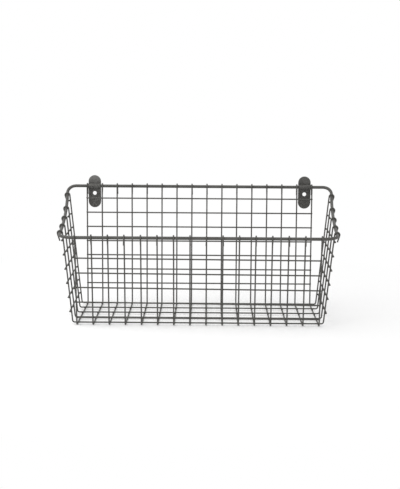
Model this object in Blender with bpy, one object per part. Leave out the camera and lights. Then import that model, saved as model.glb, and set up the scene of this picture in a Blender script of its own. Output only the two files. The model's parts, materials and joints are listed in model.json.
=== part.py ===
# Wire wall basket with two strap brackets that hang it on a wall.
# Metres. +X runs along the wall, +Y points to the wall, +Z is up.
# The origin lies under the middle of the bounding box, on the surface the basket stands on.

import math

import bmesh
import bpy
from mathutils import Vector

# Wire stock, and the gap that every welded or clipped joint is drawn with
rim_wire_diameter = 0.0044
mesh_wire_diameter = 0.0020
joint_gap = 0.0003

# Long wires: each runs over the front rim, down, along the floor, up the back and over the rim
long_wire_count = 16
long_wire_pitch = 0.022

# Cross wires: each runs over one side rim, across the floor and over the other side rim.
# The first and last stand off the floor's front and back corners.
cross_wire_count = 5
cross_wire_front_gap = 0.0056
cross_wire_back_gap = 0.0087

# Rim and walls
rim_depth = 0.1787
front_overhang = 0.02235
back_rim_height = 0.1758
front_rim_height = 0.1238
# From the last long wire to the side wall's foot
side_bay_front = 0.0058
side_bay_back = 0.0080
side_wall_lean = math.radians(6)
front_rim_corner_radius = 0.020
back_rim_corner_radius = 0.0115
long_wire_bend_radius = 0.005
cross_wire_bend_radius = 0.003

# The side rim dips from the high back to the low front along one smooth curve.
# Shares of the rim's depth and of its drop, for the curve's two handles.
front_handle_depth_share = 0.56
front_handle_rise_share = 0.1
back_handle_depth_share = 0.02
back_handle_drop_share = 0.357

# Hook tails, measured down from the middle of the rim wire; they lean back in below it
front_tail_length = 0.010
back_tail_length = 0.0123
side_tail_length = 0.0104
tail_lean = math.radians(8)

# Straight rods: the highest below the rim, the lowest above the ground, the rest evenly between
back_rod_count = 7
back_rod_drop = 0.0173
back_rod_lowest = 0.0323
front_rod_count = 5
front_rod_drop = 0.0303
front_rod_lowest = 0.0103
wall_rod_overhang = 0.0016

# Side rods: the long ones cross every cross wire, and the highest of them lies below the rim
# at the first one. The upper rod lies below the rim where it starts, at the last cross wire
# but one, and the stub below the rim at the last.
long_side_rod_count = 6
long_side_rod_drop = 0.0102
side_rod_lowest = 0.018
upper_side_rod_drop = 0.0114
stub_rod_drop = 0.0075
side_rod_overhang = 0.0015

# Strap brackets
# Each sits a little outward of the middle of its gap between two long wires
strap_outward_shift = 0.0005
strap_side_gap = 0.00085
strap_thickness = 0.0012
strap_rise = 0.0155
strap_drop = 0.0327
strap_throat_angle = math.radians(30)
wall_clearance = 0.0004
rim_running_clearance = 0.0003
screw_hole_diameter = 0.0058
screw_hole_drop = 0.0108
cutter_overrun = 0.002
weld_distance = 0.000001

# How finely the curves are drawn
hook_steps = 8
bend_steps = 4
corner_steps = 6
side_rim_steps = 12
strap_ring_steps = 14
strap_root_steps = 5
tab_end_steps = 14
hole_sides = 20
wire_profile_steps = 2

# Finish: dark warm grey coating over steel
wire_colour = (0.090, 0.086, 0.076, 1)
strap_colour = (0.115, 0.112, 0.102, 1)
coating_metallic = 0.55
wire_roughness = 0.42
strap_roughness = 0.5
sharp_angle = math.radians(30)

# Sizes that follow from those above
rim_radius = rim_wire_diameter / 2
wire_radius = mesh_wire_diameter / 2
hook_radius = rim_radius + joint_gap + wire_radius
wire_crossing = mesh_wire_diameter + joint_gap
long_floor_height = wire_radius
cross_floor_height = long_floor_height + wire_crossing
hook_reach = hook_radius + wire_radius
strap_wall_offset = hook_reach + wall_clearance
back_rim_y = (rim_depth + hook_reach - strap_wall_offset) / 2
front_rim_y = back_rim_y - rim_depth
back_leg_y = back_rim_y - hook_radius
front_corner_y = front_rim_y + front_overhang
last_long_wire_x = (long_wire_count - 1) * long_wire_pitch / 2
bracket_x = last_long_wire_x - long_wire_pitch / 2 + strap_outward_shift
first_cross_wire_y = front_corner_y + cross_wire_front_gap
last_cross_wire_y = back_leg_y - cross_wire_back_gap
strap_width = long_wire_pitch - mesh_wire_diameter - 2 * strap_side_gap


def side_wall_x(y, height):
    """Distance of the side legs' middle plane from the basket's centre plane."""
    share = (y - front_rim_y) / rim_depth
    foot = last_long_wire_x + side_bay_front + (side_bay_back - side_bay_front) * share
    return foot + (height - cross_floor_height) * math.tan(side_wall_lean)


def side_rim_x(y, height):
    return side_wall_x(y, height) + hook_radius / math.cos(side_wall_lean)


def side_rim_profile():
    """Points (y, z) of the side rim from front to back, corners included."""
    depth = Vector((rim_depth, 0))
    rise = Vector((0, back_rim_height - front_rim_height))
    front = Vector((front_rim_y, front_rim_height))
    back = Vector((back_rim_y, back_rim_height))
    front_handle = front + depth * front_handle_depth_share + rise * front_handle_rise_share
    back_handle = back - depth * back_handle_depth_share - rise * back_handle_drop_share
    points = []
    for step in range(side_rim_steps + 1):
        t = step / side_rim_steps
        points.append(front * (1 - t) ** 3 + front_handle * 3 * t * (1 - t) ** 2
                      + back_handle * 3 * t ** 2 * (1 - t) + back * t ** 3)
    inner = [p for p in points if (p - front).length > front_rim_corner_radius
             and (p - back).length > back_rim_corner_radius]
    return [front] + inner + [back]


def rim_at_y(y):
    """Height of the side rim's middle at y, and its slope there."""
    profile = side_rim_profile()
    for low, high in zip(profile, profile[1:]):
        if low.x <= y <= high.x:
            slope = (high.y - low.y) / (high.x - low.x)
            return low.y + (y - low.x) * slope, slope
    raise ValueError("y lies outside the rim")


def rim_y_at_height(height):
    """Where the side rim's middle passes through a height."""
    profile = side_rim_profile()
    for low, high in zip(profile, profile[1:]):
        if low.y <= height <= high.y:
            return low.x + (height - low.y) * (high.x - low.x) / (high.y - low.y)
    raise ValueError("height lies outside the rim")


def evenly(first, last, count):
    return [first + (last - first) * index / (count - 1) for index in range(count)]


def corner_arc(before, corner, after, radius, steps):
    """Points of the arc that rounds one corner of a path."""
    back = (before - corner).normalized()
    ahead = (after - corner).normalized()
    half_angle = back.angle(ahead) / 2
    centre = corner + (back + ahead).normalized() * radius / math.sin(half_angle)
    start = corner + back * radius / math.tan(half_angle) - centre
    end = corner + ahead * radius / math.tan(half_angle) - centre
    sweep = start.angle(end)
    points = []
    for step in range(steps + 1):
        t = step / steps
        weights = math.sin((1 - t) * sweep), math.sin(t * sweep)
        points.append(centre + (start * weights[0] + end * weights[1]) / math.sin(sweep))
    return points


def leg_directions(corner, rim_point, inward):
    """Up and outward directions of a leg from a floor corner past the inside of the rim."""
    span = rim_point - corner
    along = span.normalized()
    inside = (inward - along * inward.dot(along)).normalized()
    tilt = math.asin(hook_radius / span.length)
    up = along * math.cos(tilt) + inside * math.sin(tilt)
    outward = along * math.sin(tilt) - inside * math.cos(tilt)
    return up, outward


def hook_points(rim_point, up, outward, tail_length, slope=0):
    """Tail end first, then over the rim to the inner side."""
    stretch = math.sqrt(1 + slope ** 2)
    angles = [-tail_lean] + [math.pi * step / hook_steps for step in range(hook_steps + 1)]
    arch = [rim_point + outward * hook_radius * math.cos(angle)
            + up * hook_radius * (stretch if angle > 0 else 1) * math.sin(angle) for angle in angles]
    straight = tail_length - hook_radius * math.sin(tail_lean)
    tail_end = arch[0] - up * straight - outward * straight * math.tan(tail_lean)
    return [tail_end] + arch


def coating(name, colour, roughness):
    material = bpy.data.materials.new(name)
    material.use_nodes = True
    shader = material.node_tree.nodes["Principled BSDF"]
    shader.inputs["Base Color"].default_value = colour
    shader.inputs["Metallic"].default_value = coating_metallic
    shader.inputs["Roughness"].default_value = roughness
    return material


def add_wire(name, points, radius, closed=False):
    """One bent wire along a path, with flat cut ends."""
    curve = bpy.data.curves.new(name, "CURVE")
    curve.dimensions = "3D"
    curve.bevel_depth = radius
    curve.bevel_resolution = wire_profile_steps
    curve.use_fill_caps = True
    spline = curve.splines.new("POLY")
    spline.points.add(len(points) - 1)
    for point, place in zip(spline.points, points):
        point.co = (place.x, place.y, place.z, 1)
    spline.use_cyclic_u = closed
    wire = bpy.data.objects.new(name, curve)
    wire.data.materials.append(coating(name + "_coating", wire_colour, wire_roughness))
    basket_parts.objects.link(wire)
    return wire


def add_rim():
    profile = side_rim_profile()
    right = [Vector((side_rim_x(p.x, p.y), p.x, p.y)) for p in profile]
    left = [Vector((-p.x, p.y, p.z)) for p in reversed(right)]
    loop = right + left
    corners = {0: front_rim_corner_radius, len(right) - 1: back_rim_corner_radius,
               len(right): back_rim_corner_radius, len(loop) - 1: front_rim_corner_radius}
    path = []
    for index, point in enumerate(loop):
        if index in corners:
            after = loop[(index + 1) % len(loop)]
            path += corner_arc(loop[index - 1], point, after, corners[index], corner_steps)
        else:
            path.append(point)
    add_wire("rim", path, rim_radius, closed=True)


def add_long_wire(number):
    x = (number - 1) * long_wire_pitch - last_long_wire_x
    front_rim = Vector((x, front_rim_y, front_rim_height))
    back_rim = Vector((x, back_rim_y, back_rim_height))
    front_corner = Vector((x, front_corner_y, long_floor_height))
    back_corner = Vector((x, back_leg_y, long_floor_height))
    front_up, front_outward = leg_directions(front_corner, front_rim, Vector((0, 1, 0)))
    back_up, back_outward = leg_directions(back_corner, back_rim, Vector((0, -1, 0)))
    front_hook = hook_points(front_rim, front_up, front_outward, front_tail_length)
    back_hook = hook_points(back_rim, back_up, back_outward, back_tail_length)
    path = front_hook
    path += corner_arc(front_hook[-1], front_corner, back_corner, long_wire_bend_radius, bend_steps)
    path += corner_arc(front_corner, back_corner, back_hook[-1], long_wire_bend_radius, bend_steps)
    path += reversed(back_hook)
    add_wire(f"long_wire_{number:02d}", path, wire_radius)


def add_cross_wire(number, y):
    rim_height, slope = rim_at_y(y)
    rim_point = Vector((side_rim_x(y, rim_height), y, rim_height))
    corner = Vector((side_wall_x(y, cross_floor_height), y, cross_floor_height))
    up, outward = leg_directions(corner, rim_point, Vector((-1, 0, 0)))
    half = hook_points(rim_point, up, outward, side_tail_length, slope)
    centre = Vector((0, y, cross_floor_height))
    half += corner_arc(half[-1], corner, centre, cross_wire_bend_radius, bend_steps)
    other_half = [Vector((-p.x, p.y, p.z)) for p in reversed(half)]
    add_wire(f"cross_wire_{number}", half + other_half, wire_radius)


def add_back_rods():
    end_x = last_long_wire_x + wall_rod_overhang
    y = back_leg_y - wire_crossing
    heights = evenly(back_rim_height - back_rod_drop, back_rod_lowest, back_rod_count)
    for number, height in enumerate(heights, 1):
        ends = [Vector((-end_x, y, height)), Vector((end_x, y, height))]
        add_wire(f"back_rod_{number}", ends, wire_radius)


def add_front_rods():
    end_x = last_long_wire_x + wall_rod_overhang
    corner = Vector((0, front_corner_y, long_floor_height))
    rim_point = Vector((0, front_rim_y, front_rim_height))
    up, outward = leg_directions(corner, rim_point, Vector((0, 1, 0)))
    heights = evenly(front_rim_height - front_rod_drop, front_rod_lowest, front_rod_count)
    for number, height in enumerate(heights, 1):
        inside = corner - outward * wire_crossing
        place = inside + up * (height - inside.z) / up.z
        ends = [Vector((-end_x, place.y, height)), Vector((end_x, place.y, height))]
        add_wire(f"front_rod_{number}", ends, wire_radius)


def stub_rod_front(height):
    """Front end of the stub, which is cut off just short of the sloping rim above it."""
    slope = rim_at_y(rim_y_at_height(height))[1]
    clear_above = wire_radius + joint_gap + rim_radius * math.sqrt(1 + slope ** 2)
    return rim_y_at_height(height + clear_above)


def side_rods():
    """Height and front end of each side rod, from the lowest to the highest."""
    highest = rim_at_y(first_cross_wire_y)[0] - long_side_rod_drop
    rods = [(height, first_cross_wire_y - side_rod_overhang)
            for height in evenly(side_rod_lowest, highest, long_side_rod_count)]
    upper_wire_y = cross_wire_places[-2]
    upper_height = rim_at_y(upper_wire_y)[0] - upper_side_rod_drop
    stub_height = rim_at_y(last_cross_wire_y)[0] - stub_rod_drop
    rods.append((upper_height, upper_wire_y - side_rod_overhang))
    rods.append((stub_height, stub_rod_front(stub_height)))
    return rods


def add_side_rods(side, sign):
    outward = wire_crossing / math.cos(side_wall_lean)
    back_end = last_cross_wire_y + side_rod_overhang
    for number, (height, front_end) in enumerate(side_rods(), 1):
        ends = [Vector((sign * (side_wall_x(y, height) + outward), y, height))
                for y in (front_end, back_end)]
        add_wire(f"{side}_rod_{number}", ends, wire_radius)


def mesh_from_curve(name, curve, rotation, location, collection):
    """A closed mesh object from a filled flat curve, with its caps welded on."""
    source = bpy.data.objects.new(name + "_outline", curve)
    source.rotation_euler = rotation
    source.location = location
    collection.objects.link(source)
    bpy.context.view_layer.update()
    evaluated = source.evaluated_get(bpy.context.evaluated_depsgraph_get())
    mesh = bpy.data.meshes.new_from_object(evaluated)
    matrix = source.matrix_world.copy()
    bpy.data.objects.remove(source)
    welded = bmesh.new()
    welded.from_mesh(mesh)
    bmesh.ops.remove_doubles(welded, verts=welded.verts, dist=weld_distance)
    bmesh.ops.recalc_face_normals(welded, faces=welded.faces)
    welded.to_mesh(mesh)
    welded.free()
    result = bpy.data.objects.new(name, mesh)
    collection.objects.link(result)
    result.matrix_world = matrix
    return result


def flat_outline(name, points, half_thickness):
    curve = bpy.data.curves.new(name, "CURVE")
    curve.dimensions = "2D"
    curve.fill_mode = "BOTH"
    curve.extrude = half_thickness
    spline = curve.splines.new("POLY")
    spline.points.add(len(points) - 1)
    for point, (across, up) in zip(spline.points, points):
        point.co = (across, up, 0, 1)
    spline.use_cyclic_u = True
    return curve


def strap_centre_line():
    """Side view of the strap, (y, z) from the rim's middle: tab, ring round the rim, tab."""
    tab_y = strap_wall_offset - strap_thickness / 2
    ring_radius = rim_radius + rim_running_clearance + strap_thickness / 2
    throat_cosine = math.cos(strap_throat_angle)
    root_bend = (tab_y - ring_radius * throat_cosine) / (1 + throat_cosine)
    root_y = tab_y - root_bend
    root_z = (ring_radius + root_bend) * math.sin(strap_throat_angle)
    upper = [Vector((tab_y, strap_rise + cutter_overrun))]
    for step in range(strap_root_steps + 1):
        angle = -(math.pi - strap_throat_angle) * step / strap_root_steps
        upper.append(Vector((root_y + root_bend * math.cos(angle),
                             root_z + root_bend * math.sin(angle))))
    ring = []
    ring_sweep = 2 * (math.pi - strap_throat_angle)
    for step in range(1, strap_ring_steps):
        angle = strap_throat_angle + ring_sweep * step / strap_ring_steps
        ring.append(Vector((ring_radius * math.cos(angle), ring_radius * math.sin(angle))))
    lower = [Vector((p.x, -p.y)) for p in reversed(upper)]
    lower[-1] = Vector((tab_y, -strap_drop - cutter_overrun))
    return upper + ring + lower


def strap_section():
    """Closed outline of the strap's side view, at its full thickness."""
    line = strap_centre_line()
    one_side, other_side = [], []
    for index, point in enumerate(line):
        before = line[max(index - 1, 0)]
        after = line[min(index + 1, len(line) - 1)]
        along = (after - before).normalized()
        across = Vector((-along.y, along.x)) * strap_thickness / 2
        one_side.append(point + across)
        other_side.append(point - across)
    return one_side + other_side[::-1]


def tab_outline():
    """Front view of the strap: straight sides and fully round ends."""
    radius = strap_width / 2
    points = []
    for centre_z, start in ((strap_rise - radius, 0), (radius - strap_drop, math.pi)):
        for step in range(tab_end_steps + 1):
            angle = start + math.pi * step / tab_end_steps
            points.append((radius * math.cos(angle), centre_z + radius * math.sin(angle)))
    return points


def hide_cutter(cutter):
    cutter.hide_render = True
    cutter.display_type = "WIRE"


def add_bracket(name, x):
    """A formed strap, closed round the back rim wire and free to turn on it."""
    axis = Vector((x, back_rim_y, back_rim_height))
    section = flat_outline(name + "_section", strap_section(), strap_width / 2 + cutter_overrun)
    strap = mesh_from_curve(name, section, (math.pi / 2, 0, math.pi / 2), axis, basket_parts)
    front_view = flat_outline(name + "_front", tab_outline(), strap_wall_offset + cutter_overrun)
    shape = mesh_from_curve(name + "_shape", front_view, (math.pi / 2, 0, 0), axis, cutters)
    hide_cutter(shape)
    bpy.ops.mesh.primitive_cylinder_add(
        vertices=hole_sides, radius=screw_hole_diameter / 2, depth=strap_wall_offset * 2,
        location=axis + Vector((0, strap_wall_offset, -screw_hole_drop)),
        rotation=(math.pi / 2, 0, 0))
    hole = bpy.context.object
    hole.name = name + "_hole"
    for collection in hole.users_collection:
        collection.objects.unlink(hole)
    cutters.objects.link(hole)
    hide_cutter(hole)
    for label, cutter, operation in (("rounded ends", shape, "INTERSECT"),
                                     ("screw hole", hole, "DIFFERENCE")):
        cut = strap.modifiers.new(label, "BOOLEAN")
        cut.operation = operation
        cut.solver = "EXACT"
        cut.object = cutter
    strap.data.shade_smooth()
    strap.data.set_sharp_from_angle(angle=sharp_angle)
    strap.data.materials.append(coating(name + "_coating", strap_colour, strap_roughness))


for old in list(bpy.data.objects):
    bpy.data.objects.remove(old)
basket_parts = bpy.data.collections.new("wall_basket")
cutters = bpy.data.collections.new("bracket_cutters")
for group in (basket_parts, cutters):
    bpy.context.scene.collection.children.link(group)

add_rim()
for wire_number in range(1, long_wire_count + 1):
    add_long_wire(wire_number)
cross_wire_places = evenly(first_cross_wire_y, last_cross_wire_y, cross_wire_count)
for wire_number, wire_y in enumerate(cross_wire_places, 1):
    add_cross_wire(wire_number, wire_y)
add_back_rods()
add_front_rods()
add_side_rods("left_side", -1)
add_side_rods("right_side", 1)
add_bracket("left_bracket", -bracket_x)
add_bracket("right_bracket", bracket_x)
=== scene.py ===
# Wire wall basket with two strap brackets: finished wires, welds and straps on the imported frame.
# Metres, +X along the wall, +Y to the wall, +Z up, the basket standing on z = 0.
import json
import math
import random

import bpy
from mathutils import Matrix, Vector


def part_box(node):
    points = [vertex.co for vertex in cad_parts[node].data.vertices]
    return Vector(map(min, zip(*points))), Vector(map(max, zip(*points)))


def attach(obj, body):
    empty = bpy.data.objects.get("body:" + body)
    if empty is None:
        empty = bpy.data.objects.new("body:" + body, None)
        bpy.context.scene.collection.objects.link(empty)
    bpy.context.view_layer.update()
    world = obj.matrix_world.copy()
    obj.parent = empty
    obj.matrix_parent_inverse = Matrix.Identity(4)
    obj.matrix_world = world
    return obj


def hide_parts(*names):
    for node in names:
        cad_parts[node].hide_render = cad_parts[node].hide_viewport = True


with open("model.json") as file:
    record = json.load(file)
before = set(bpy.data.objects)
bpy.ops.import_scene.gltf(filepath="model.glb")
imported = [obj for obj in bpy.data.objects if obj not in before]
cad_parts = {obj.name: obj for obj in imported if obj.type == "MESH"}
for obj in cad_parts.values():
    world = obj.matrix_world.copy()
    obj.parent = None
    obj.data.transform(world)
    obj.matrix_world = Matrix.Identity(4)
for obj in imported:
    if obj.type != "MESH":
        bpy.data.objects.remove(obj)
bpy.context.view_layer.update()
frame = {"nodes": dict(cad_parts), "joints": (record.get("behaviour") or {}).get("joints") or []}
random.seed(7)           # the hooks come out the same each run
xAxis = Vector((1, 0, 0))
yAxis = Vector((0, 1, 0))
zAxis = Vector((0, 0, 1))
print("Frame loaded:", len(frame["nodes"]), "nodes")

# Wire stock and the bends that all the wires share
wireStock = {
    "rimRadius": 0.0022,
    "meshRadius": 0.001,
    "weldGap": 0.0003,  # between two wires that cross
    "rimSides": 24,
    "meshSides": 14,
    "cutRound": 0.00022,  # rounding of a cut end
    "cutSteps": 2,
    "longBend": 0.005,
    "crossBend": 0.003,
    "bendSteps": 7,
    "archSteps": 14,
}
sharpAngle = math.radians(40)  # edges sharper than this stay crisp
hookRadius = wireStock["rimRadius"] + wireStock["weldGap"] + wireStock["meshRadius"]
wireCrossing = 2 * wireStock["meshRadius"] + wireStock["weldGap"]

# Where the rim runs, from the frame
backRim = Vector(frame["joints"][0]["pos_m"])
backRim.x = 0
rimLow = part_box("rim")[0]
frontRim = Vector((0, rimLow.y, rimLow.z)) + (yAxis + zAxis) * wireStock["rimRadius"]


def boxCentre(node):
    low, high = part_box(node)
    return (low + high) / 2


# Materials

def coating(name, look):
    # powder coat: blotches, fine metal flake and orange peel, all on Object coordinates, and on a strap
    # painted light above the rim
    material = bpy.data.materials.new(name)
    material.use_nodes = True
    nodes, links = material.node_tree.nodes, material.node_tree.links
    shader = nodes["Principled BSDF"]
    shader.inputs["Metallic"].default_value = look["metallic"]
    shader.inputs["Specular IOR Level"].default_value = look["specular"]
    place = nodes.new("ShaderNodeTexCoord")

    def noise(scale, detail=2):
        node = nodes.new("ShaderNodeTexNoise")
        node.inputs["Scale"].default_value = scale
        node.inputs["Detail"].default_value = detail
        links.new(place.outputs["Object"], node.inputs["Vector"])
        return node.outputs["Fac"]

    def ramp(source, low, high, first, last):
        node = nodes.new("ShaderNodeMapRange")
        node.inputs["From Min"].default_value = low
        node.inputs["From Max"].default_value = high
        node.inputs["To Min"].default_value = first
        node.inputs["To Max"].default_value = last
        links.new(source, node.inputs["Value"])
        return node.outputs["Result"]

    def mix(share, first, last):
        node = nodes.new("ShaderNodeMix")
        node.data_type = "RGBA"
        links.new(share, node.inputs["Factor"])
        for socket, value in ((node.inputs[6], first), (node.inputs[7], last)):
            if isinstance(value, tuple):
                socket.default_value = value
            else:
                links.new(value, socket)
        return node.outputs[2]

    blotches = ramp(noise(look["blotchScale"], detail=3), *look["blotchRange"], 0, 1)
    flakes = ramp(noise(look["flakeScale"]), *look["flakeRange"], 0, look["flakeShare"])
    colour = mix(flakes, mix(blotches, look["dark"], look["light"]), look["flake"])
    if "upper" in look:
        # painted light: above the rim the strap's colour is blended towards a paler one for the top light
        # on the upper tab, and below the rim it keeps the darker colour as painted shade
        split = nodes.new("ShaderNodeSeparateXYZ")
        links.new(place.outputs["Object"], split.inputs["Vector"])
        litTopMask = ramp(split.outputs["Z"], *look["upperHeights"], 0, look["upperShare"])
        colour = mix(litTopMask, colour, look["upper"])
    links.new(colour, shader.inputs["Base Color"])
    gloss = ramp(noise(look["peelScale"] / look["glossPatch"]), *look["glossRange"], *look["roughness"])
    links.new(gloss, shader.inputs["Roughness"])
    bump = nodes.new("ShaderNodeBump")
    bump.inputs["Strength"].default_value = look["peelStrength"]
    bump.inputs["Distance"].default_value = look["peelDepth"]
    links.new(noise(look["peelScale"], detail=3), bump.inputs["Height"])
    links.new(bump.outputs["Normal"], shader.inputs["Normal"])
    return material


# A range is the part of a noise's values that a blend runs over
wireLook = {
    "dark": (0.077, 0.075, 0.069, 1),
    "light": (0.097, 0.095, 0.088, 1),
    "flake": (0.24, 0.235, 0.22, 1),
    "flakeShare": 0.45,
    "metallic": 0.35,
    "specular": 0.4,
    "roughness": (0.42, 0.54),
    "glossPatch": 3,  # width of a glossier patch, in bumps of the peel
    "glossRange": (0.3, 0.7),
    "blotchScale": 70,
    "blotchRange": (0.35, 0.65),
    "flakeScale": 2600,
    "flakeRange": (0.56, 0.72),
    "peelScale": 1100,
    "peelStrength": 0.35,
    "peelDepth": 0.00006,
}
rimLook = dict(
    wireLook,
    dark=(0.078, 0.076, 0.070, 1),
    light=(0.098, 0.096, 0.090, 1),
    blotchScale=45,
)
weldLook = dict(
    wireLook,
    dark=(0.070, 0.068, 0.062, 1),
    roughness=(0.48, 0.60),
    peelScale=1900,
    peelDepth=0.0001,
)
strapLook = dict(
    wireLook,
    dark=(0.050, 0.049, 0.045, 1),
    light=(0.132, 0.130, 0.122, 1),
    flakeShare=0.5,
    blotchScale=620,
    flakeScale=1500,
    peelScale=900,
    peelDepth=0.00009,
    # painted light: the heights over which the strap is blended paler above the rim
    upperHeights=(backRim.z + 0.002, backRim.z + 0.012),
)
# painted light: the left strap gets a stronger pale tint above the rim, and the right strap a darker colour
# all over as painted shade, for light that falls from the left
leftLitStrapLook = dict(strapLook, upper=(0.21, 0.207, 0.198, 1), upperShare=0.7)
rightShadedStrapLook = dict(
    strapLook,
    light=(0.105, 0.103, 0.097, 1),
    upper=(0.14, 0.138, 0.131, 1),
    upperShare=0.3,
)
wireCoat = coating("wire_coat", wireLook)
rimCoat = coating("rim_coat", rimLook)
weldCoat = coating("weld_coat", weldLook)
strapCoats = {"left": coating("left_strap_coat", leftLitStrapLook), "right": coating("right_strap_coat", rightShadedStrapLook)}
print("Materials made")


# Wire bending, move by move

def addRing(place, heading, radius, sides, name=None):
    # an open ring square to the heading: with a name it starts a piece, else it joins the one in edit mode
    if name:
        bpy.ops.object.select_all(action="DESELECT")
    bpy.ops.mesh.primitive_circle_add(vertices=sides, radius=radius, location=place,
                                      rotation=heading.to_track_quat("Z", "Y").to_euler())
    if name:
        piece = bpy.context.object
        piece.name = name
        piece.data.name = name
        bpy.ops.object.transform_apply(location=True, rotation=True, scale=True)
        bpy.ops.object.mode_set(mode="EDIT")
        bpy.ops.mesh.select_all(action="SELECT")


def run(wire, length, sideways=0):
    step = wire["heading"] * length + wire["side"] * sideways
    bpy.ops.mesh.extrude_region_move(TRANSFORM_OT_translate={"value": step})
    wire["place"] = wire["place"] + step


def bend(wire, axis, angle, radius, steps):
    centre = wire["place"] + axis.cross(wire["heading"]) * radius
    # the spin operator turns the other way round
    bpy.ops.mesh.spin(steps=steps, angle=-angle, center=centre, axis=axis, use_auto_merge=False)
    turn = Matrix.Rotation(angle, 3, axis)
    wire["place"] = centre + turn @ (wire["place"] - centre)
    wire["heading"] = turn @ wire["heading"]


def selectOpenEnd():
    bpy.ops.mesh.select_all(action="DESELECT")
    bpy.ops.mesh.select_non_manifold(use_wire=False, use_multi_face=False, use_non_contiguous=False,
                                     use_verts=False)


def roundCut():
    bpy.ops.mesh.edge_face_add()
    bpy.ops.mesh.bevel(offset=wireStock["cutRound"], segments=wireStock["cutSteps"], affect="EDGES")


def finishPiece(body, material, nodes=()):
    piece = bpy.context.object
    if bpy.context.mode == "EDIT_MESH":
        bpy.ops.mesh.select_all(action="SELECT")
        bpy.ops.mesh.normals_make_consistent(inside=False)
        bpy.ops.object.mode_set(mode="OBJECT")
    bpy.ops.object.shade_smooth_by_angle(angle=sharpAngle)
    piece.data.materials.clear()
    piece.data.materials.append(material)
    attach(piece, body)
    if nodes:
        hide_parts(*nodes)
    return piece


# Weld along the crevice where a hook lies on the rim
hookWeld = {
    "radius": 0.00085,
    "sides": 10,
    "steps": 14,
    "sweep": math.radians(196),
}


def fillHook(rimPoint, legSide, axis):
    sweep = hookWeld["sweep"]
    first = Matrix.Rotation((math.pi - sweep) / 2, 3, axis) @ legSide
    crevice = wireStock["rimRadius"] + wireStock["weldGap"] / 2
    seam = {"place": rimPoint + first * crevice, "heading": axis.cross(first)}
    addRing(seam["place"], seam["heading"], hookWeld["radius"], hookWeld["sides"])
    bend(seam, axis, sweep, crevice, hookWeld["steps"])
    bpy.ops.mesh.edge_face_add()
    selectOpenEnd()
    bpy.ops.mesh.edge_face_add()


def bendWire(node, place, heading, side, moves, hooks=()):
    # moves are (run, length), (run, length, sideways) or (bend, axis, angle, radius, steps)
    addRing(place, heading, wireStock["meshRadius"], wireStock["meshSides"], node + "_wire")
    wire = {"place": place.copy(), "heading": heading.copy(), "side": side}
    for move in moves:
        move[0](wire, *move[1:])
    roundCut()
    selectOpenEnd()
    roundCut()
    for hooked in hooks:
        fillHook(*hooked)
    return finishPiece("basket", wireCoat, [node])


# Hooks: each wire comes up inside the rim, goes over it and ends in a tail outside
hook = {
    "frontTail": 0.0100,  # how far each tail reaches below the middle of the rim wire
    "backTail": 0.0123,
    "sideTail": 0.0104,
    "lean": math.radians(8),  # the tail turns in below the rim
    "sideLean": math.radians(13),
    "leanSpread": math.radians(2),
    "lengthSpread": 0.0005,
    "sidewaysSpread": 0.0005,
    "pinch": 0.00004,  # the arch is bent this much tighter than the rim and its gap
}
archRadius = hookRadius - hook["pinch"]


def legDirections(corner, rimPoint, inward):
    # up along the leg and outward square to it, for a leg that passes inside the rim
    span = rimPoint - corner
    along = span.normalized()
    inside = (inward - along * inward.dot(along)).normalized()
    tilt = math.asin(hookRadius / span.length)
    up = along * math.cos(tilt) + inside * math.sin(tilt)
    return up, along * math.sin(tilt) - inside * math.cos(tilt)


def planHook(tailLength, lean=hook["lean"], lift=0):
    # one hook's own length, lean and sideways offset
    lean += random.uniform(-1, 1) * hook["leanSpread"]
    drop = tailLength + random.uniform(-1, 0) * hook["lengthSpread"]
    length = (drop + lift - archRadius * math.sin(lean)) / math.cos(lean)
    return {"lean": lean, "length": length, "lift": lift,
            "sideways": random.uniform(-1, 1) * hook["sidewaysSpread"]}


def tailStart(plan, rimPoint, up, outward, side):
    # place and heading at the cut end of a tail
    lean = plan["lean"]
    heading = up * math.cos(lean) + outward * math.sin(lean)
    start = rimPoint + up * plan["lift"] - outward * hook["pinch"]
    start += (outward * math.cos(lean) - up * math.sin(lean)) * archRadius
    return start - heading * plan["length"] - side * plan["sideways"], heading


# Long wires: front hook, front leg, floor, back leg, back hook
longWire = {
    "count": 16,
    "frontOverhang": 0.02235,
    "tailBesideStrap": 0.0003,  # how far the first wire's back tail turns to the strap
}
frontCornerY = frontRim.y + longWire["frontOverhang"]
backLegY = backRim.y - hookRadius
floorZ = wireStock["meshRadius"]
frontCorner = Vector((0, frontCornerY, floorZ))
backCorner = Vector((0, backLegY, floorZ))
frontUp, frontOut = legDirections(frontCorner, frontRim, yAxis)
backUp, backOut = legDirections(backCorner, backRim, -yAxis)


def longWireName(number):
    return f"long_wire_{number:02d}"


def makeLongWire(number):
    node = longWireName(number)
    shift = xAxis * boxCentre(node).x
    front, back = planHook(hook["frontTail"]), planHook(hook["backTail"])
    if number == 1:
        back["sideways"] = longWire["tailBesideStrap"]
    place, heading = tailStart(front, frontRim + shift, frontUp, frontOut, xAxis)
    bendRadius, steps = wireStock["longBend"], wireStock["bendSteps"]
    frontTurn = (-frontUp).angle(yAxis)
    frontCut = bendRadius * math.tan(frontTurn / 2)
    backTurn = yAxis.angle(backUp)
    backCut = bendRadius * math.tan(backTurn / 2)
    frontLeg = (frontRim - frontOut * hookRadius - frontCorner).length - frontCut
    backLeg = (backRim - backOut * hookRadius - backCorner).length - backCut
    floorRun = backLegY - frontCornerY - frontCut - backCut
    bendWire(node, place, heading, xAxis, [
        (run, front["length"], front["sideways"]),
        (bend, -xAxis, math.pi + front["lean"], archRadius, wireStock["archSteps"]),
        (run, frontLeg),
        (bend, xAxis, frontTurn, bendRadius, steps),
        (run, floorRun),
        (bend, xAxis, backTurn, bendRadius, steps),
        (run, backLeg),
        (bend, -xAxis, math.pi + back["lean"], archRadius, wireStock["archSteps"]),
        (run, back["length"], back["sideways"]),
    ], [(frontRim + shift, -frontOut, xAxis), (backRim + shift, -backOut, -xAxis)])


for number in range(1, longWire["count"] + 1):
    makeLongWire(number)
print("Long wires bent")


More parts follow.
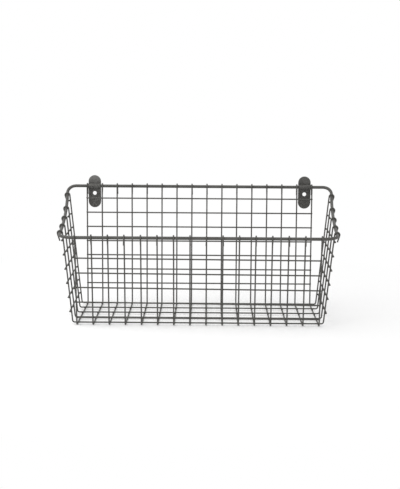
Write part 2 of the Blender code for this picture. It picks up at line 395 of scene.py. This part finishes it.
# The side rim dips from the high back to the low front in one smooth curve
sideRim = {
    "lean": math.radians(6),
    "frontBay": 0.0058,  # last long wire to the side wall's foot
    "backBay": 0.0080,
    "frontCornerRadius": 0.0200,
    "backCornerRadius": 0.0115,
    "cornerReach": 1.1,  # length of each arm of a corner's bend, in radii
    "frontHandleShares": (0.56, 0.1),  # of the rim's depth and of its drop
    "backHandleShares": (0.02, 0.357),
    "steps": 48,
    "cornerSteps": 12,
    "easePasses": 4,
    "easeReach": 0.008,  # points farther apart than this stay as they are
}
lastLongX = boxCentre(longWireName(longWire["count"])).x
crossFloorZ = floorZ + wireCrossing


def sideWallX(y, height):
    share = (y - frontRim.y) / (backRim.y - frontRim.y)
    foot = lastLongX + sideRim["frontBay"] + (sideRim["backBay"] - sideRim["frontBay"]) * share
    return foot + (height - crossFloorZ) * math.tan(sideRim["lean"])


def sideRimProfile():
    depth, rise = yAxis * (backRim.y - frontRim.y), zAxis * (backRim.z - frontRim.z)
    depthShare, riseShare = sideRim["frontHandleShares"]
    frontHandle = frontRim + depth * depthShare + rise * riseShare
    depthShare, riseShare = sideRim["backHandleShares"]
    backHandle = backRim - depth * depthShare - rise * riseShare
    profile = []
    for step in range(sideRim["steps"] + 1):
        t = step / sideRim["steps"]
        profile.append(frontRim * (1 - t) ** 3 + frontHandle * 3 * t * (1 - t) ** 2
                       + backHandle * 3 * t ** 2 * (1 - t) + backRim * t ** 3)
    frontArm = sideRim["frontCornerRadius"] * sideRim["cornerReach"]
    backArm = sideRim["backCornerRadius"] * sideRim["cornerReach"]
    inner = [point for point in profile
             if (point - frontRim).length > frontArm and (point - backRim).length > backArm]
    return [frontRim] + inner + [backRim]


def rimHeight(y):
    # height of the side rim's middle at y, and its slope there
    profile = sideRimProfile()
    for low, high in zip(profile, profile[1:]):
        if low.y <= y <= high.y:
            slope = (high.z - low.z) / (high.y - low.y)
            return low.z + (y - low.y) * slope, slope


def roundCorner(before, corner, after, radius, steps):
    back, ahead = (before - corner).normalized(), (after - corner).normalized()
    half = back.angle(ahead) / 2
    centre = corner + (back + ahead).normalized() * radius / math.sin(half)
    first = corner + back * radius / math.tan(half) - centre
    last = corner + ahead * radius / math.tan(half) - centre
    return [centre + first.slerp(last, step / steps).normalized() * radius
            for step in range(steps + 1)]


def ease(path):
    # rounds off what kinks are left in a closed path
    for count in range(sideRim["easePasses"]):
        eased = []
        for index, point in enumerate(path):
            before, after = path[index - 1], path[(index + 1) % len(path)]
            near = max((before - point).length, (after - point).length) < sideRim["easeReach"]
            eased.append((before + point * 2 + after) / 4 if near else point)
        path = eased
    return path


def makeRim():
    lean = hookRadius / math.cos(sideRim["lean"])
    right = [Vector((sideWallX(p.y, p.z) + lean, p.y, p.z)) for p in sideRimProfile()]
    left = [Vector((-p.x, p.y, p.z)) for p in reversed(right)]
    loop = right + left
    frontRadius, backRadius = sideRim["frontCornerRadius"], sideRim["backCornerRadius"]
    corners = {0: frontRadius, len(right) - 1: backRadius, len(right): backRadius,
               len(loop) - 1: frontRadius}
    path = []
    for index, point in enumerate(loop):
        if index in corners:
            after = loop[(index + 1) % len(loop)]
            path += roundCorner(loop[index - 1], point, after, corners[index], sideRim["cornerSteps"])
        else:
            path.append(point)
    bpy.ops.object.select_all(action="DESELECT")
    bpy.ops.curve.primitive_bezier_circle_add()
    piece = bpy.context.object
    piece.name = "rim_wire"
    piece.data.name = "rim_wire"
    piece.data.splines.clear()
    spline = piece.data.splines.new("POLY")
    spline.points.add(len(path) - 1)
    for point, place in zip(spline.points, ease(path)):
        point.co = (*place, 1)
    spline.use_cyclic_u = True
    piece.data.bevel_depth = wireStock["rimRadius"]
    piece.data.bevel_resolution = wireStock["rimSides"] // 2 - 2  # gives that many sides
    bpy.ops.object.convert(target="MESH")
    finishPiece("basket", rimCoat, ["rim"])


makeRim()
print("Rim made")


# Cross wires: left hook, left leg, floor, right leg, right hook
crossWire = {"count": 5}


def crossWirePlan(number):
    y = boxCentre(f"cross_wire_{number}").y
    height, slope = rimHeight(y)
    rimX = sideWallX(y, height) + hookRadius / math.cos(sideRim["lean"])
    corner = Vector((-sideWallX(y, crossFloorZ), y, crossFloorZ))
    rimPoint = Vector((-rimX, y, height))
    up, outward = legDirections(corner, rimPoint, xAxis)
    lift = hookRadius * (math.sqrt(1 + slope ** 2) - 1)
    return {"y": y, "corner": corner, "rimPoint": rimPoint, "up": up, "outward": outward, "lift": lift,
            "slope": slope}


def mirror(vector):
    return Vector((-vector.x, vector.y, vector.z))


def makeCrossWire(number):
    plan = crossWirePlan(number)
    rimPoint, outward = plan["rimPoint"], plan["outward"]
    left, right = (planHook(hook["sideTail"], hook["sideLean"], plan["lift"]) for end in range(2))
    place, heading = tailStart(left, rimPoint, plan["up"], outward, yAxis)
    bendRadius, steps = wireStock["crossBend"], wireStock["bendSteps"]
    turn = (-plan["up"]).angle(xAxis)
    cut = bendRadius * math.tan(turn / 2)
    legTop = rimPoint + plan["up"] * plan["lift"] - outward * hookRadius
    leg = (legTop - plan["corner"]).length - cut
    bendWire(f"cross_wire_{number}", place, heading, yAxis, [
        (run, left["length"], left["sideways"]),
        (bend, yAxis, math.pi + left["lean"], archRadius, wireStock["archSteps"]),
        (run, leg),
        (bend, -yAxis, turn, bendRadius, steps),
        (run, -2 * (plan["corner"].x + cut)),
        (bend, -yAxis, turn, bendRadius, steps),
        (run, leg),
        (bend, yAxis, math.pi + right["lean"], archRadius, wireStock["archSteps"]),
        (run, right["length"], right["sideways"]),
    ], [(rimPoint, -outward, -yAxis), (mirror(rimPoint), -mirror(outward), yAxis)])


for number in range(1, crossWire["count"] + 1):
    makeCrossWire(number)
print("Cross wires bent")


# Straight rods, cut to the length that the frame gives
rods = {
    "back": 7,
    "front": 5,
    "side": 8,
    "backTrim": 0.0010,  # off each end
    "frontTilts": (0.0050, 0.0050, 0.0075, 0.0075, 0.0020),  # how steeply each falls to the right
    "pivotX": 0.036,  # where a tilted rod keeps its height
}


def makeRod(node, first, last):
    span = last - first
    bendWire(node, first, span.normalized(), yAxis, [(run, span.length)])


def makeWallRod(node, trim=0, tilt=Vector()):
    low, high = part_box(node)
    ends = []
    for x in (low.x + trim, high.x - trim):
        ends.append(Vector((x, (low.y + high.y) / 2, (low.z + high.z) / 2)) + tilt * (x - rods["pivotX"]))
    makeRod(node, *ends)


def frontTilt(number):
    return -frontUp * rods["frontTilts"][number - 1]


def makeSideRod(node, sign):
    low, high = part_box(node)
    middle = (low + high) / 2
    near, far = sorted((abs(low.x), abs(high.x)))
    inset = wireStock["meshRadius"]
    makeRod(node, Vector((sign * (near + inset), low.y, middle.z)),
            Vector((sign * (far - inset), high.y, middle.z)))


for number in range(1, rods["back"] + 1):
    makeWallRod(f"back_rod_{number}", trim=rods["backTrim"])
for number in range(1, rods["front"] + 1):
    makeWallRod(f"front_rod_{number}", tilt=frontTilt(number))
for side, sign in (("left", -1), ("right", 1)):
    for number in range(1, rods["side"] + 1):
        makeSideRod(f"{side}_side_rod_{number}", sign)
print("Rods cut")


# Brackets: a flat strap, rounded tab, root bend, ring round the rim wire, root bend, rounded tab
strap = {
    "width": 0.0183,
    "thickness": 0.0012,
    "rise": 0.0155,
    "drop": 0.0321,
    "throat": math.radians(30),
    "ringClearance": 0.0003,
    "wallClearance": 0.0004,
    "tipAngle": math.radians(84),
    "tipSteps": 10,
    "ringSteps": 30,
    "rootSteps": 8,
    "holeRadius": 0.0028,  # narrowed by its coat
    "holeDrop": 0.0108,
    "holeSides": 48,
    "punchDepths": 4,  # length of the punch, in thicknesses
    "edgeRound": 0.00024,
    "edgeSteps": 3,
}


def tabMoves(radius, narrows):
    # runs and widths that round a tab's end
    angles = [strap["tipAngle"] * step / strap["tipSteps"] for step in range(strap["tipSteps"] + 1)]
    moves = []
    for near, far in zip(angles, angles[1:]):
        length = radius * (math.sin(far) - math.sin(near))
        ratio = math.cos(far) / math.cos(near)
        moves.append((length, ratio) if narrows else (length, 1 / ratio))
    return moves if narrows else moves[::-1]


def makeBracket(side, hinge):
    thickness = strap["thickness"]
    tabY = hookRadius + wireStock["meshRadius"] + strap["wallClearance"] - thickness / 2
    ringRadius = wireStock["rimRadius"] + strap["ringClearance"] + thickness / 2
    throat = strap["throat"]
    rootRadius = (tabY - ringRadius * math.cos(throat)) / (1 + math.cos(throat))
    rootZ = (ringRadius + rootRadius) * math.sin(throat)
    tabRadius = strap["width"] / 2
    tip = tabRadius * (1 - math.sin(strap["tipAngle"]))
    place = hinge + yAxis * tabY + zAxis * (strap["rise"] - tip)
    bpy.ops.object.select_all(action="DESELECT")
    bpy.ops.mesh.primitive_plane_add(size=1, location=place)
    bpy.context.object.name = side + "_strap"
    bpy.context.object.data.name = side + "_strap"
    bpy.context.object.scale = (strap["width"] * math.cos(strap["tipAngle"]), thickness, 1)
    bpy.ops.object.transform_apply(location=True, rotation=True, scale=True)
    bpy.ops.object.mode_set(mode="EDIT")
    bpy.ops.mesh.select_all(action="SELECT")
    bpy.ops.mesh.delete(type="ONLY_FACE")
    bpy.ops.mesh.select_all(action="SELECT")
    band = {"place": place, "heading": -zAxis, "side": xAxis}

    def shapeTab(narrows):
        for length, ratio in tabMoves(tabRadius, narrows):
            run(band, length)
            bpy.ops.transform.resize(value=(ratio, 1, 1), center_override=band["place"])

    shapeTab(False)
    run(band, strap["rise"] - tabRadius - rootZ)
    bend(band, -xAxis, math.pi - throat, rootRadius, strap["rootSteps"])
    bend(band, xAxis, 2 * (math.pi - throat), ringRadius, strap["ringSteps"])
    bend(band, -xAxis, math.pi - throat, rootRadius, strap["rootSteps"])
    run(band, strap["drop"] - tabRadius - rootZ)
    shapeTab(True)
    bpy.ops.mesh.edge_face_add()
    selectOpenEnd()
    bpy.ops.mesh.edge_face_add()
    bpy.ops.mesh.select_all(action="SELECT")
    bpy.ops.mesh.normals_make_consistent(inside=False)
    bpy.ops.object.mode_set(mode="OBJECT")
    piece = bpy.context.object
    bpy.ops.mesh.primitive_cylinder_add(vertices=strap["holeSides"], radius=strap["holeRadius"],
                                        depth=thickness * strap["punchDepths"],
                                        location=hinge + yAxis * tabY - zAxis * strap["holeDrop"],
                                        rotation=(math.pi / 2, 0, 0))
    punch = bpy.context.object
    bpy.ops.object.select_all(action="DESELECT")
    piece.select_set(True)
    bpy.context.view_layer.objects.active = piece
    hole = piece.modifiers.new("hole", "BOOLEAN")
    hole.operation = "DIFFERENCE"
    hole.object = punch
    bpy.ops.object.modifier_apply(modifier="hole")
    bpy.data.objects.remove(punch)
    edge = piece.modifiers.new("edge", "BEVEL")
    edge.width = strap["edgeRound"]
    edge.segments = strap["edgeSteps"]
    edge.limit_method = "ANGLE"
    edge.angle_limit = sharpAngle
    bpy.ops.object.modifier_apply(modifier="edge")
    finishPiece(side + "_bracket", strapCoats[side], [side + "_bracket"])
    flats = piece.modifiers.new("flats", "WEIGHTED_NORMAL")
    flats.keep_sharp = True
    bpy.ops.object.modifier_apply(modifier="flats")


for side, joint in (("left", 0), ("right", 1)):
    makeBracket(side, Vector(frame["joints"][joint]["pos_m"]))
print("Brackets formed")


# Welds where two mesh wires cross: cushions of metal that fill the four corners
weld = {
    "reach": 0.0009,
    "halfHeight": 0.0005,
    "cuts": 2,
    "swell": 1,
    "roughScale": 0.0012,
    "roughDepth": 0.00016,
}
weldRough = bpy.data.textures.new("weld_rough", "CLOUDS")
weldRough.noise_scale = weld["roughScale"]


def makeWelds(name, first, across, normal, repeats):
    turn = Matrix((across, normal.cross(across), normal)).transposed().to_euler()
    bpy.ops.object.select_all(action="DESELECT")
    bpy.ops.mesh.primitive_cube_add(size=2, location=first, rotation=turn,
                                    scale=(weld["reach"], weld["reach"], weld["halfHeight"]))
    piece = bpy.context.object
    piece.name = name
    piece.data.name = name
    bpy.ops.object.transform_apply(location=True, rotation=True, scale=True)
    bpy.ops.object.mode_set(mode="EDIT")
    bpy.ops.mesh.select_all(action="SELECT")
    bpy.ops.mesh.subdivide(number_cuts=weld["cuts"], smoothness=weld["swell"])
    bpy.ops.object.mode_set(mode="OBJECT")
    for count, step in repeats:
        row = piece.modifiers.new("row", "ARRAY")
        row.count = count
        row.use_relative_offset = False
        row.use_constant_offset = True
        row.constant_offset_displace = step
        bpy.ops.object.modifier_apply(modifier="row")
    rough = piece.modifiers.new("rough", "DISPLACE")
    rough.texture = weldRough
    rough.strength = weld["roughDepth"]
    bpy.ops.object.modifier_apply(modifier="rough")
    finishPiece("basket", weldCoat)


def gridStep(first, last, count):
    return (last - first) / (count - 1)


firstLong = boxCentre(longWireName(1)).x
alongWires = (longWire["count"], xAxis * gridStep(firstLong, lastLongX, longWire["count"]))
halfCrossing = wireCrossing / 2


def weldRod(node, towardLeg, tilt=Vector()):
    centre = boxCentre(node)
    start = Vector((firstLong, centre.y, centre.z)) + towardLeg * halfCrossing
    start += tilt * (firstLong - rods["pivotX"])
    count, step = alongWires
    makeWelds(node + "_welds", start, xAxis, towardLeg, [(count, step + tilt * step.x)])


for number in range(1, rods["back"] + 1):
    weldRod(f"back_rod_{number}", yAxis)
for number in range(1, rods["front"] + 1):
    weldRod(f"front_rod_{number}", frontOut, frontTilt(number))

firstCross, lastCross = boxCentre("cross_wire_1").y, boxCentre(f"cross_wire_{crossWire['count']}").y
crossStep = gridStep(firstCross, lastCross, crossWire["count"])
makeWelds("floor_welds", Vector((firstLong, firstCross, floorZ + halfCrossing)), xAxis, zAxis,
          [alongWires, (crossWire["count"], yAxis * crossStep)])


def weldSide(side, sign):
    lean = sideRim["lean"]
    across = halfCrossing / math.cos(lean)
    normal = Vector((sign * math.cos(lean), 0, -math.sin(lean)))

    def place(y, height):
        return Vector((sign * (sideWallX(y, height) + across), y, height))

    heights = [boxCentre(f"{side}_side_rod_{number}").z for number in range(1, rods["side"] + 1)]
    longRods = rods["side"] - 2
    start = place(firstCross, heights[0])
    makeWelds(side + "_wall_welds", start, yAxis, normal, [
        (crossWire["count"], place(firstCross + crossStep, heights[0]) - start),
        (longRods, place(firstCross, heights[1]) - start),
    ])
    start = place(lastCross - crossStep, heights[longRods])
    makeWelds(side + "_upper_welds", start, yAxis, normal,
              [(2, place(lastCross, heights[longRods]) - start)])
    makeWelds(side + "_stub_weld", place(lastCross, heights[-1]), yAxis, normal, [])


weldSide("left", -1)
weldSide("right", 1)
print("Welds added")


# Camera, light and floor
camera = {
    "place": (0.01228, -1.6618, 0.34407),
    "turn": (81.733, -0.340, 0.412),
    "lens": 87.914,
    "sensor": 36,
    "farthest": 60,
}
bpy.ops.object.camera_add(location=camera["place"],
                          rotation=[math.radians(angle) for angle in camera["turn"]])
cameraObject = bpy.context.object
cameraObject.name = "camera"
cameraObject.data.lens = camera["lens"]
cameraObject.data.sensor_width = camera["sensor"]
cameraObject.data.clip_end = camera["farthest"]
bpy.context.scene.camera = cameraObject

light = {
    "top": {"place": (-0.8, -0.3, 1.2), "size": (1.4, 1.0), "power": 9},
    "front": {"place": (-1.1, -1.9, 0.8), "size": (1.2, 1.2), "power": 3.5},
    "aim": (0, 0, 0.09),
    "world": 0.72,
}
for name in ("top", "front"):
    lamp = light[name]
    bpy.ops.object.light_add(type="AREA", location=lamp["place"])
    lampObject = bpy.context.object
    lampObject.name = name + "_softbox"
    toObject = Vector(light["aim"]) - Vector(lamp["place"])
    lampObject.rotation_euler = toObject.to_track_quat("-Z", "Y").to_euler()
    lampObject.data.shape = "RECTANGLE"
    lampObject.data.size, lampObject.data.size_y = lamp["size"]
    lampObject.data.energy = lamp["power"]


def seenDirectly(nodes, links):
    # 1 for rays that show the backdrop itself or its reflection, 0 for those that light the object
    path = nodes.new("ShaderNodeLightPath")
    previous = path.outputs["Is Camera Ray"]
    for name in ("Is Glossy Ray", "Is Transmission Ray"):
        larger = nodes.new("ShaderNodeMath")
        larger.operation = "MAXIMUM"
        links.new(previous, larger.inputs[0])
        links.new(path.outputs[name], larger.inputs[1])
        previous = larger.outputs[0]
    return previous


world = bpy.data.worlds.new("studio")
bpy.context.scene.world = world
world.use_nodes = True
nodes, links = world.node_tree.nodes, world.node_tree.links
lit = nodes["Background"]
lit.inputs["Strength"].default_value = light["world"]
white = nodes.new("ShaderNodeBackground")
white.inputs["Strength"].default_value = 1
for background in (lit, white):
    background.inputs["Color"].default_value = (1, 1, 1, 1)
choice = nodes.new("ShaderNodeMixShader")
links.new(seenDirectly(nodes, links), choice.inputs["Fac"])
links.new(lit.outputs[0], choice.inputs[1])
links.new(white.outputs[0], choice.inputs[2])
links.new(choice.outputs[0], nodes["World Output"].inputs["Surface"])

floorLook = {
    "size": 30,
    "colour": (0.82, 0.82, 0.82, 1),
    "roughness": 0.9,
    "glow": 0.22,  # lifts the paper to white outside the shadow
    "fade": (0.2, 0.6),  # from the origin, where shaded paper gives way to plain white
}
bpy.ops.object.select_all(action="DESELECT")
bpy.ops.mesh.primitive_plane_add(size=floorLook["size"], location=(0, 0, 0))
floor = bpy.context.object
floor.name = "floor"
paper = bpy.data.materials.new("floor_paper")
paper.use_nodes = True
nodes, links = paper.node_tree.nodes, paper.node_tree.links
shader = nodes["Principled BSDF"]
shader.inputs["Base Color"].default_value = floorLook["colour"]
shader.inputs["Roughness"].default_value = floorLook["roughness"]
shader.inputs["Emission Color"].default_value = (1, 1, 1, 1)
# near the object the paper takes its shadow, and farther off it is plain white
direct = seenDirectly(nodes, links)
glow = nodes.new("ShaderNodeMath")
glow.operation = "MULTIPLY"
glow.inputs[1].default_value = floorLook["glow"]
links.new(direct, glow.inputs[0])
links.new(glow.outputs[0], shader.inputs["Emission Strength"])
place = nodes.new("ShaderNodeTexCoord")
distance = nodes.new("ShaderNodeVectorMath")
distance.operation = "LENGTH"
links.new(place.outputs["Object"], distance.inputs[0])
fade = nodes.new("ShaderNodeMapRange")
fade.inputs["From Min"].default_value, fade.inputs["From Max"].default_value = floorLook["fade"]
links.new(distance.outputs["Value"], fade.inputs["Value"])
share = nodes.new("ShaderNodeMath")
share.operation = "MULTIPLY"
links.new(direct, share.inputs[0])
links.new(fade.outputs["Result"], share.inputs[1])
plain = nodes.new("ShaderNodeEmission")
choice = nodes.new("ShaderNodeMixShader")
links.new(share.outputs[0], choice.inputs["Fac"])
links.new(shader.outputs[0], choice.inputs[1])
links.new(plain.outputs[0], choice.inputs[2])
links.new(choice.outputs[0], nodes["Material Output"].inputs["Surface"])
floor.data.materials.append(paper)
bpy.context.scene.view_settings.view_transform = "Standard"
print("Camera and light set")
